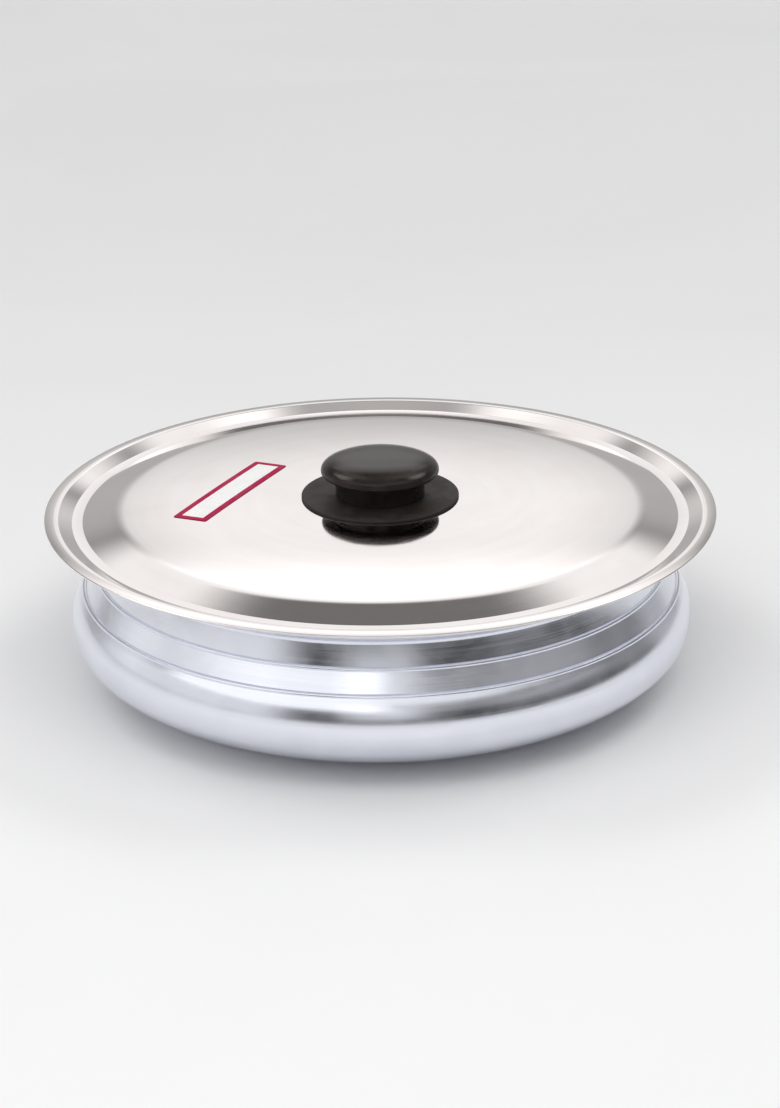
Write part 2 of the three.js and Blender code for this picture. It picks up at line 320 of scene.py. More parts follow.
class Wiring:
    """Adds nodes to one node tree and joins them."""

    def __init__(self, tree: bpy.types.NodeTree) -> None:
        """Keeps the tree that the nodes go into."""
        self.tree = tree

    def feed(self, socket: bpy.types.NodeSocket, value: Feed) -> None:
        """Links an output to a socket, or sets the socket's own value.

        Args:
            socket: The input that is fed.
            value: An output socket, a number, a colour or a vector.
        """
        if isinstance(value, bpy.types.NodeSocket):
            self.tree.links.new(value, socket)
        else:
            socket.default_value = value

    def node(
        self, kind: str, inputs: dict[str | int, Feed] | None = None, **settings: object
    ) -> bpy.types.Node:
        """Adds a node.

        Args:
            kind: Blender's name of the node's type.
            inputs: What feeds each input, by the input's name or number.
            settings: The node's own properties.

        Returns:
            The new node.
        """
        made = self.tree.nodes.new(kind)
        for name, value in settings.items():
            setattr(made, name, value)
        for key, value in (inputs or {}).items():
            self.feed(made.inputs[key], value)
        return made

    def group(self, tree: bpy.types.NodeTree, **inputs: Feed) -> bpy.types.NodeOutputs:
        """Places a shared group.

        Args:
            tree: The group.
            inputs: What feeds each of its inputs.

        Returns:
            The group's outputs, by name.
        """
        made = self.node("ShaderNodeGroup", node_tree=tree)
        for name, value in inputs.items():
            self.feed(made.inputs[name], value)
        return made.outputs

    def math(self, operation: str, *values: Feed) -> bpy.types.NodeSocket:
        """Adds a Math node and gives its result."""
        return self.node("ShaderNodeMath", dict(enumerate(values)), operation=operation).outputs[0]

    def weighed(self, *parts: tuple[Feed, float]) -> Feed:
        """Adds up values, each times its own weight.

        Args:
            parts: The values with their weights.

        Returns:
            The weighed sum.
        """
        total: Feed = 0.0
        for value, weight in parts:
            total = self.math("MULTIPLY_ADD", value, weight, total)
        return total

    def ramp(
        self, value: Feed, low: Feed, high: Feed, to_low: float = 0.0, to_high: float = 1.0
    ) -> bpy.types.NodeSocket:
        """Maps a value smoothly from one range to another, and holds it there outside the range."""
        inputs = {0: value, 1: low, 2: high, 3: to_low, 4: to_high}
        return self.node("ShaderNodeMapRange", inputs, interpolation_type="SMOOTHSTEP").outputs[0]

    def noise(
        self, vector: Feed, detail: float, around: Feed | None = None, distortion: float = 0.0
    ) -> bpy.types.NodeSocket:
        """Adds a noise texture of unit scale.

        Args:
            vector: Where the noise is read.
            detail: Octaves of detail.
            around: Fourth coordinate, where there is one.
            distortion: How much the noise is bent by itself.

        Returns:
            The noise, from 0 to 1.
        """
        inputs = {"Vector": vector, "Scale": 1.0, "Detail": detail, "Distortion": distortion}
        if around is not None:
            inputs["W"] = around
        dimensions = "3D" if around is None else "4D"
        return self.node("ShaderNodeTexNoise", inputs, noise_dimensions=dimensions).outputs["Fac"]

    def mixed(self, share: Feed, first: Feed, second: Feed) -> bpy.types.NodeSocket:
        """Mixes two colours by a share of the second one."""
        inputs = {0: share, 6: first, 7: second}
        return self.node("ShaderNodeMix", inputs, data_type="RGBA").outputs[2]

    def places(self) -> bpy.types.NodeSocket:
        """Places on the piece, in metres, which move with it."""
        return self.node("ShaderNodeTexCoord").outputs["Object"]

    def vector(self, x: Feed, y: Feed, z: Feed) -> bpy.types.NodeSocket:
        """Joins three numbers in a vector."""
        return self.node("ShaderNodeCombineXYZ", {0: x, 1: y, 2: z}).outputs[0]

    def scaled(self, vector: Feed, scale: Feed) -> bpy.types.NodeSocket:
        """Scales a vector by one number."""
        inputs = {"Vector": vector, "Scale": scale}
        return self.node("ShaderNodeVectorMath", inputs, operation="SCALE").outputs[0]

    def stretched(self, vector: Feed, factors: Feed) -> bpy.types.NodeSocket:
        """Scales a vector by a factor of its own along each axis."""
        return self.node("ShaderNodeVectorMath", {0: vector, 1: factors}, operation="MULTIPLY").outputs[0]

    def bump(self, height: Feed, depth: float) -> bpy.types.NodeSocket:
        """Turns a height into a normal, where a height of 1 stands for a real depth."""
        inputs = {"Strength": 1.0, "Distance": depth, "Height": height}
        return self.node("ShaderNodeBump", inputs).outputs["Normal"]


def open_group(
    name: str, inputs: dict[str, float], *outputs: str
) -> tuple[Wiring, dict[str, bpy.types.NodeSocket], bpy.types.Node]:
    """Starts a node group whose inputs and outputs are numbers.

    Args:
        name: Name of the group.
        inputs: Its inputs, with their usual values.
        outputs: Names of its outputs.

    Returns:
        The group's wiring, its inputs by name, and the node that its outputs go into.
    """
    tree = bpy.data.node_groups.new(name, "ShaderNodeTree")
    for label, usual in inputs.items():
        socket = tree.interface.new_socket(name=label, in_out="INPUT", socket_type="NodeSocketFloat")
        socket.default_value = usual
    for label in outputs:
        tree.interface.new_socket(name=label, in_out="OUTPUT", socket_type="NodeSocketFloat")
    wiring = Wiring(tree)
    given = wiring.node("NodeGroupInput").outputs
    return wiring, {label: given[label] for label in inputs}, wiring.node("NodeGroupOutput")


@dataclass
class SharedEffects:
    """Surface effects that more than one finish uses, each a node group that is built once."""

    broad_lines: float = 0.14
    smudge_bend: float = 0.7
    scratch_turns: tuple[float, ...] = (0.3, 1.5, 2.4)
    wear_patch: float = 4 * MM

    def __post_init__(self) -> None:
        """Builds the groups."""
        self.ring_places = self._ring_places()
        self.turning_lines = self._turning_lines()
        self.cloudy_smudges = self._cloudy_smudges()
        self.fine_scratches = self._fine_scratches()
        self.edge_wear = self._edge_wear()
        self.moulded_grain = self._moulded_grain()

    def _ring_places(self) -> bpy.types.NodeTree:
        """Radius, height, and the cosine and sine of the bearing about the piece's own Z axis.

        Returns:
            The node group.
        """
        wiring, _, result = open_group("ring_places", {}, "Radius", "Height", "Cosine", "Sine")
        x, y, z = wiring.node("ShaderNodeSeparateXYZ", {0: wiring.places()}).outputs
        squares = wiring.math("ADD", wiring.math("POWER", x, 2.0), wiring.math("POWER", y, 2.0))
        radius = wiring.math("MAXIMUM", wiring.math("SQRT", squares), MICRON)
        wiring.feed(result.inputs["Radius"], radius)
        wiring.feed(result.inputs["Height"], z)
        wiring.feed(result.inputs["Cosine"], wiring.math("DIVIDE", x, radius))
        wiring.feed(result.inputs["Sine"], wiring.math("DIVIDE", y, radius))
        return wiring.tree

    def _turning_lines(self) -> bpy.types.NodeTree:
        """Fine rings that a turning tool or a polishing wheel leaves, broken up round the piece.

        Returns:
            The node group.
        """
        inputs = {"Spacing": 1 * MM, "Breakup": 1.0}
        wiring, given, result = open_group("turning_lines", inputs, "Ridge", "Tone")
        ring = wiring.group(self.ring_places)
        across = wiring.math("DIVIDE", ring["Radius"], given["Spacing"])
        up = wiring.math("DIVIDE", ring["Height"], given["Spacing"])
        along = wiring.math("MULTIPLY", ring["Cosine"], given["Breakup"])
        aside = wiring.math("MULTIPLY", ring["Sine"], given["Breakup"])
        fine = wiring.vector(across, up, along)
        broad = wiring.stretched(fine, (self.broad_lines, self.broad_lines, 1.0))
        wiring.feed(result.inputs["Ridge"], wiring.noise(fine, 3.0, aside))
        wiring.feed(result.inputs["Tone"], wiring.ramp(wiring.noise(broad, 2.0, aside), 0.3, 0.7))
        return wiring.tree

    def _cloudy_smudges(self) -> bpy.types.NodeTree:
        """Soft clouds, such as handling and wiping leave.

        Returns:
            The node group.
        """
        wiring, given, result = open_group("cloudy_smudges", {"Size": 20 * MM}, "Mask")
        near = wiring.scaled(wiring.places(), wiring.math("DIVIDE", 1.0, given["Size"]))
        cloud = wiring.noise(near, 4.0, distortion=self.smudge_bend)
        wiring.feed(result.inputs["Mask"], wiring.ramp(cloud, 0.34, 0.68))
        return wiring.tree

    def _fine_scratches(self) -> bpy.types.NodeTree:
        """Hair-fine scratches in three directions, broken into short lengths.

        Returns:
            The node group.
        """
        inputs = {"Length": 30 * MM, "Width": 0.5 * MM}
        wiring, given, result = open_group("fine_scratches", inputs, "Mask")
        places = wiring.places()
        along = wiring.math("DIVIDE", 1.0, given["Length"])
        across = wiring.math("DIVIDE", 0.1, given["Width"])
        scale = wiring.vector(along, across, across)
        total: Feed = 0.0
        for turn in self.scratch_turns:
            run = wiring.node("ShaderNodeVectorRotate", {"Vector": places, "Angle": turn}).outputs[0]
            noise = wiring.noise(wiring.stretched(run, scale), 1.0)
            level = wiring.math("ABSOLUTE", wiring.math("SUBTRACT", noise, 0.5))
            total = wiring.math("MAXIMUM", total, wiring.ramp(level, 0.012, 0.002))
        pitch = wiring.math("DIVIDE", 3.0, given["Length"])
        gaps = wiring.ramp(wiring.noise(wiring.scaled(places, pitch), 2.0), 0.5, 0.66)
        wiring.feed(result.inputs["Mask"], wiring.math("MULTIPLY", total, gaps))
        return wiring.tree

    def _edge_wear(self) -> bpy.types.NodeTree:
        """Convex edges that rubbing has worn, in patches.

        Returns:
            The node group.
        """
        wiring, given, result = open_group("edge_wear", {"Start": 0.52, "Full": 0.6}, "Mask")
        pointed = wiring.node("ShaderNodeNewGeometry").outputs["Pointiness"]
        edge = wiring.ramp(pointed, given["Start"], given["Full"])
        patches = wiring.noise(wiring.scaled(wiring.places(), 1 / self.wear_patch), 3.0)
        worn = wiring.math("MULTIPLY", edge, wiring.ramp(patches, 0.25, 0.6, 0.35, 1.0))
        wiring.feed(result.inputs["Mask"], worn)
        return wiring.tree

    def _moulded_grain(self) -> bpy.types.NodeTree:
        """Faint pebbled skin that a mould leaves.

        Returns:
            The node group.
        """
        wiring, given, result = open_group("moulded_grain", {"Size": 0.4 * MM}, "Height")
        near = wiring.scaled(wiring.places(), wiring.math("DIVIDE", 1.0, given["Size"]))
        wiring.feed(result.inputs["Height"], wiring.noise(near, 3.0))
        return wiring.tree


def open_material(name: str) -> tuple[bpy.types.Material, Wiring, bpy.types.Node]:
    """Starts a material.

    Args:
        name: Name of the material.

    Returns:
        The material, its wiring, and its Principled shader.
    """
    material = bpy.data.materials.new(name)
    material.use_nodes = True
    return material, Wiring(material.node_tree), material.node_tree.nodes["Principled BSDF"]


@dataclass(frozen=True)
class SpunAluminium:
    """Satin spun aluminium, with fine rings from the spinning tool, soft mottle and worn step edges."""

    light: Color = (0.86, 0.88, 0.95, 1.0)
    dark: Color = (0.76, 0.78, 0.86, 1.0)
    worn: Color = (0.90, 0.91, 0.95, 1.0)
    smooth: float = 0.14
    rough: float = 0.27
    anisotropy: float = 0.35
    line_spacing: float = 1.1 * MM
    line_depth: float = 5 * MICRON
    hair_spacing: float = 0.32 * MM
    mottle: float = 16 * MM
    chatter_rate: float = 24.0
    grain_turn: float = 0.25

    def make(self, effects: SharedEffects) -> bpy.types.Material:
        """Builds the material.

        Args:
            effects: The shared node groups.

        Returns:
            The material.
        """
        material, wiring, shader = open_material("spun_aluminium")
        lines = wiring.group(effects.turning_lines, Spacing=self.line_spacing, Breakup=0.5)
        hairs = wiring.group(effects.turning_lines, Spacing=self.hair_spacing, Breakup=2.5)
        mottle = wiring.group(effects.cloudy_smudges, Size=self.mottle)["Mask"]
        wear = wiring.group(effects.edge_wear, Start=0.56, Full=0.7)["Mask"]
        ring = wiring.group(effects.ring_places)
        round_about = wiring.vector(ring["Cosine"], ring["Sine"], 0.0)
        chatter = wiring.noise(wiring.scaled(round_about, self.chatter_rate), 4.0)
        tone = wiring.weighed((lines["Tone"], 0.6), (mottle, 0.4))
        metal = wiring.mixed(tone, self.dark, self.light)
        wiring.feed(shader.inputs["Base Color"], wiring.mixed(wear, metal, self.worn))
        matt = wiring.weighed((hairs["Ridge"], 0.7), (mottle, 0.2), (chatter, 0.12))
        wiring.feed(shader.inputs["Roughness"], wiring.ramp(matt, 0.2, 0.85, self.smooth, self.rough))
        relief = wiring.weighed((lines["Ridge"], 1.0), (hairs["Ridge"], 0.25))
        wiring.feed(shader.inputs["Normal"], wiring.bump(relief, self.line_depth))
        shader.inputs["Metallic"].default_value = 1.0
        shader.inputs["Anisotropic"].default_value = self.anisotropy
        shader.inputs["Anisotropic Rotation"].default_value = self.grain_turn
        tangent = wiring.node("ShaderNodeTangent", direction_type="RADIAL", axis="Z")
        wiring.feed(shader.inputs["Tangent"], tangent.outputs[0])
        return material


@dataclass(frozen=True)
class PolishedSteel:
    """Mirror-polished stainless steel, with faint polishing rings, wiped smudges and hair scratches."""

    light: Color = (0.88, 0.84, 0.825, 1.0)
    dark: Color = (0.84, 0.785, 0.765, 1.0)
    smooth: float = 0.05
    rough: float = 0.11
    ring_spacing: float = 0.9 * MM
    ring_depth: float = 0.5 * MICRON
    smudge: float = 38 * MM

    def make(self, effects: SharedEffects) -> bpy.types.Material:
        """Builds the material.

        Args:
            effects: The shared node groups.

        Returns:
            The material.
        """
        material, wiring, shader = open_material("polished_steel")
        rings = wiring.group(effects.turning_lines, Spacing=self.ring_spacing, Breakup=1.4)
        smudges = wiring.group(effects.cloudy_smudges, Size=self.smudge)["Mask"]
        scratches = wiring.group(effects.fine_scratches, Length=26 * MM, Width=0.35 * MM)["Mask"]
        tone = wiring.weighed((rings["Tone"], 0.5), (smudges, 0.5))
        wiring.feed(shader.inputs["Base Color"], wiring.mixed(tone, self.light, self.dark))
        matt = wiring.weighed((rings["Ridge"], 0.4), (smudges, 0.4), (scratches, 0.4))
        wiring.feed(shader.inputs["Roughness"], wiring.ramp(matt, 0.1, 1.0, self.smooth, self.rough))
        wiring.feed(shader.inputs["Normal"], wiring.bump(rings["Ridge"], self.ring_depth))
        shader.inputs["Metallic"].default_value = 1.0
        return material


class Moulding(Enum):
    """Skin of a phenolic moulding: its name, least and most roughness, depth of grain and refraction."""

    SATIN = ("satin_phenolic", 0.15, 0.22, 0.5 * MICRON, 1.33)
    MATT = ("matt_phenolic", 0.5, 0.66, 7 * MICRON, 1.42)


@dataclass(frozen=True)
class Phenolic:
    """Black phenolic moulding, with a pebbled skin, rubbed edges and a few scratches."""

    moulding: Moulding
    black: Color = (0.0145, 0.0116, 0.0102, 1.0)
    brown: Color = (0.0245, 0.0195, 0.0168, 1.0)
    rubbed: Color = (0.045, 0.041, 0.038, 1.0)
    sheen: Color = (0.9, 0.78, 0.74, 1.0)
    smudge: float = 9 * MM
    grain: float = 0.45 * MM

    def make(self, effects: SharedEffects) -> bpy.types.Material:
        """Builds the material.

        Args:
            effects: The shared node groups.

        Returns:
            The material.
        """
        name, smooth, rough, depth, refraction = self.moulding.value
        material, wiring, shader = open_material(name)
        smudges = wiring.group(effects.cloudy_smudges, Size=self.smudge)["Mask"]
        scratches = wiring.group(effects.fine_scratches, Length=9 * MM, Width=0.2 * MM)["Mask"]
        wear = wiring.group(effects.edge_wear, Start=0.53, Full=0.66)["Mask"]
        grain = wiring.group(effects.moulded_grain, Size=self.grain)["Height"]
        body = wiring.mixed(smudges, self.black, self.brown)
        rubs = wiring.weighed((scratches, 0.25), (wear, 0.5))
        wiring.feed(shader.inputs["Base Color"], wiring.mixed(rubs, body, self.rubbed))
        matt = wiring.weighed((scratches, 0.4), (smudges, 0.7))
        wiring.feed(shader.inputs["Roughness"], wiring.ramp(matt, 0.0, 1.0, smooth, rough))
        wiring.feed(shader.inputs["Normal"], wiring.bump(grain, depth))
        shader.inputs["IOR"].default_value = refraction
        shader.inputs["Specular Tint"].default_value = self.sheen
        return material


@dataclass(frozen=True)
class TurnedMetal:
    """Small turned or plated hardware, with tool rings and dulled patches."""

    name: str
    light: Color
    dull: Color
    smooth: float
    rough: float
    ring_spacing: float = 0.18 * MM
    ring_depth: float = 1.5 * MICRON
    dull_patch: float = 2.5 * MM

    def make(self, effects: SharedEffects) -> bpy.types.Material:
        """Builds the material.

        Args:
            effects: The shared node groups.

        Returns:
            The material.
        """
        material, wiring, shader = open_material(self.name)
        rings = wiring.group(effects.turning_lines, Spacing=self.ring_spacing, Breakup=0.6)
        dulled = wiring.group(effects.cloudy_smudges, Size=self.dull_patch)["Mask"]
        wear = wiring.group(effects.edge_wear, Start=0.53, Full=0.64)["Mask"]
        metal = wiring.mixed(dulled, self.light, self.dull)
        wiring.feed(shader.inputs["Base Color"], wiring.mixed(wear, metal, self.light))
        matt = wiring.weighed((rings["Ridge"], 0.5), (dulled, 0.5))
        wiring.feed(shader.inputs["Roughness"], wiring.ramp(matt, 0.1, 0.9, self.smooth, self.rough))
        wiring.feed(shader.inputs["Normal"], wiring.bump(rings["Ridge"], self.ring_depth))
        shader.inputs["Metallic"].default_value = 1.0
        return material


BRASS = TurnedMetal(
    "insert_brass", light=(0.76, 0.57, 0.27, 1.0), dull=(0.58, 0.42, 0.2, 1.0), smooth=0.2, rough=0.42
)
ZINC_PLATE = TurnedMetal(
    "plated_steel", light=(0.66, 0.67, 0.69, 1.0), dull=(0.5, 0.51, 0.54, 1.0), smooth=0.16, rough=0.36
)


@dataclass(frozen=True)
class LabelPaper:
    """Coated white label paper with a plain crimson border, lightly rubbed."""

    length: float
    width: float
    border: float = 2.55 * MM
    paper: Color = (0.88, 0.875, 0.87, 1.0)
    shaded: Color = (0.82, 0.81, 0.80, 1.0)
    crimson: Color = (0.39, 0.001, 0.056, 1.0)
    faded: Color = (0.42, 0.008, 0.07, 1.0)
    ink_edge: float = 0.08 * MM
    smooth: float = 0.34
    rough: float = 0.5
    gloss: float = 0.06
    smudge: float = 7 * MM
    fibre: float = 0.25 * MM
    fibre_depth: float = 3 * MICRON

    def make(self, effects: SharedEffects) -> bpy.types.Material:
        """Builds the material.

        Args:
            effects: The shared node groups.

        Returns:
            The material.
        """
        material, wiring, shader = open_material("label_paper")
        along, across, _ = wiring.node("ShaderNodeSeparateXYZ", {0: wiring.places()}).outputs
        smudges = wiring.group(effects.cloudy_smudges, Size=self.smudge)["Mask"]
        fibres = wiring.group(effects.moulded_grain, Size=self.fibre)["Height"]
        scratches = wiring.group(effects.fine_scratches, Length=12 * MM, Width=0.25 * MM)["Mask"]
        from_end = wiring.math("SUBTRACT", self.length / 2, wiring.math("ABSOLUTE", along))
        from_side = wiring.math("SUBTRACT", self.width / 2, wiring.math("ABSOLUTE", across))
        inside = wiring.math("MINIMUM", from_end, from_side)
        printed = wiring.ramp(inside, self.border + self.ink_edge, self.border - self.ink_edge)
        tint = wiring.math("MULTIPLY", smudges, 0.5)
        paper = wiring.mixed(tint, self.paper, self.shaded)
        ink = wiring.mixed(wiring.math("MAXIMUM", tint, scratches), self.crimson, self.faded)
        wiring.feed(shader.inputs["Base Color"], wiring.mixed(printed, paper, ink))
        wiring.feed(shader.inputs["Roughness"], wiring.ramp(smudges, 0.0, 1.0, self.smooth, self.rough))
        wiring.feed(shader.inputs["Normal"], wiring.bump(fibres, self.fibre_depth))
        shader.inputs["Specular IOR Level"].default_value = self.gloss
        return material


@dataclass(frozen=True)
class PaleFloor:
    """Matt pale studio floor, very faintly clouded."""

    light: Color = (0.88, 0.88, 0.88, 1.0)
    shaded: Color = (0.855, 0.855, 0.855, 1.0)
    smooth: float = 0.8
    rough: float = 0.9
    gloss: float = 0.2
    cloud: float = 0.5

    def make(self, effects: SharedEffects) -> bpy.types.Material:
        """Builds the material.

        Args:
            effects: The shared node groups.

        Returns:
            The material.
        """
        material, wiring, shader = open_material("pale_floor")
        clouds = wiring.group(effects.cloudy_smudges, Size=self.cloud)["Mask"]
        wiring.feed(shader.inputs["Base Color"], wiring.mixed(clouds, self.light, self.shaded))
        wiring.feed(shader.inputs["Roughness"], wiring.ramp(clouds, 0.0, 1.0, self.smooth, self.rough))
        shader.inputs["Specular IOR Level"].default_value = self.gloss
        return material


@dataclass
class Pot:
    """The spun pot, in one sheet from the flat base up to the flared lip."""

    wall: float = 2.2 * MM
    base_flat_radius: float = 57 * MM
    belly_radius: float = 121.4 * MM
    belly_height: float = 24.6 * MM
    belly_power: float = 2.29
    shoulder_arc: float = 19.5 * MM
    shoulder_lean: float = math.radians(36.5)
    shoulder_flat: float = 2.6 * MM
    lower_step: float = 0.5 * MM
    band_lean: float = math.radians(29.4)
    upper_step: float = 0.35 * MM
    neck_radius: float = 109 * MM
    neck_height: float = 9.75 * MM
    neck_lean: float = math.radians(18)
    flare_slope: float = math.radians(25)
    flare_fillet: float = 2 * MM
    lip_radius: float = 126.4 * MM
    bead_radius: float = 1 * MM
    bead_rise: float = 0.4 * MM
    inner_round: float = 0.7 * MM
    belly_steps: int = 48
    shoulder_steps: int = 20
    bead_steps: int = 12
    nose_steps: int = 14

    def __post_init__(self) -> None:
        """Works out the heights and the middle of the lip's round nose."""
        lean = Vector((math.sin(self.shoulder_lean), math.cos(self.shoulder_lean)))
        self.shoulder_top = self.belly_height + self.shoulder_arc * lean.x + self.shoulder_flat * lean.y
        drawn_in = self.shoulder_arc * (1 - lean.y) + self.shoulder_flat * lean.x
        self.shoulder_radius = self.belly_radius - drawn_in
        self.neck_shift = self.neck_height / 2 * math.tan(self.neck_lean)
        self.upper_radius = self.neck_radius + self.neck_shift + self.upper_step
        band_width = self.shoulder_radius - self.lower_step - self.upper_radius
        self.neck_foot = self.shoulder_top + band_width / math.tan(self.band_lean)
        self.neck_top = self.neck_foot + self.neck_height
        self.nose = self.wall / 2
        self.nose_middle = self.lip_radius - self.nose
        self.flare_end = self.nose_middle + self.nose * math.sin(self.flare_slope)
        flare_rise = (self.flare_end - self.neck_radius) * math.tan(self.flare_slope)
        self.flare_end_height = self.neck_top + flare_rise
        self.nose_height = self.flare_end_height + self.nose * math.cos(self.flare_slope)

    def _belly(self) -> list[Bend]:
        """Lower belly, from the edge of the flat base out to the widest place.

        Returns:
            The corners in order.
        """
        flat, height = self.base_flat_radius, self.belly_height
        width = self.belly_radius - flat
        bulge = quarter(self.belly_power, self.belly_steps)[::-1]
        return [Bend(flat + width * out, height * (1 - down)) for out, down in bulge]

    def _shoulder(self) -> list[Bend]:
        """Shoulder above the widest place, up to where its curve ends.

        Returns:
            The corners in order.
        """
        middle = (self.belly_radius - self.shoulder_arc, self.belly_height)
        points = arc(middle, self.shoulder_arc, 0.0, self.shoulder_lean, self.shoulder_steps)
        return [Bend(point.radius, point.height) for point in points[1:]]

    def _bead(self, radius: float, height: float, lean: float) -> list[Bend]:
        """Half-round bead at the top end of a leaning surface.

        Args:
            radius: Radius of the surface's top end.
            height: Height of the surface's top end.
            lean: Angle by which the surface leans in as it goes up.

        Returns:
            The bead's points, from its foot to the surface's top end.
        """
        depth = self.bead_radius - self.bead_rise
        spread = math.acos(depth / self.bead_radius)
        reach = self.bead_radius * math.sin(spread)
        out = radius + reach * math.sin(lean) - depth * math.cos(lean)
        up = height - reach * math.cos(lean) - depth * math.sin(lean)
        points = arc((out, up), self.bead_radius, lean - spread, lean + spread, self.bead_steps)
        return [Bend(point.radius, point.height) for point in points]

    def _sheet(self, beaded: bool) -> list[Bend]:
        """Outside of the pot, from the middle of the base to the end of the flare.

        Args:
            beaded: Whether the two steps carry their beads.

        Returns:
            The corners in order.
        """
        lower_edge = [Bend(self.shoulder_radius, self.shoulder_top, 0.0, self.inner_round)]
        upper_edge = [Bend(self.upper_radius, self.neck_foot, 0.0, self.inner_round)]
        shoulder = self._shoulder()
        if beaded:
            lower_edge = self._bead(self.shoulder_radius, self.shoulder_top, self.shoulder_lean)
            upper_edge = self._bead(self.upper_radius, self.neck_foot, self.band_lean)
            shoulder = [bend for bend in shoulder if bend.height < lower_edge[0].height]
        return [
            Bend(0.0, 0.0),
            *self._belly(),
            *shoulder,
            *lower_edge,
            Bend(self.shoulder_radius - self.lower_step, self.shoulder_top, 0.0, self.inner_round),
            *upper_edge,
            Bend(self.neck_radius + self.neck_shift, self.neck_foot, 0.0, self.inner_round),
            Bend(
                self.neck_radius - self.neck_shift,
                self.neck_top - self.neck_shift * math.tan(self.flare_slope),
                self.flare_fillet,
                self.flare_fillet + self.wall,
            ),
            Bend(self.flare_end, self.flare_end_height),
        ]

    def build(self, effects: SharedEffects) -> None:
        """Turns the pot and dresses it.

        Args:
            effects: The shared node groups.
        """
        outside = near_face(self._sheet(beaded=True))
        inside = far_face(self._sheet(beaded=False), self.wall)
        start = self.flare_slope - math.pi / 2
        middle = (self.nose_middle, self.nose_height)
        tip = arc(middle, self.nose, start, start + math.pi, self.nose_steps)[1:-1]
        shell = turned("pot_shell", outside + rounded(tip) + inside, LARGE_FACETS)
        seat(shell, SpunAluminium().make(effects), Body.POT, "pot_body")


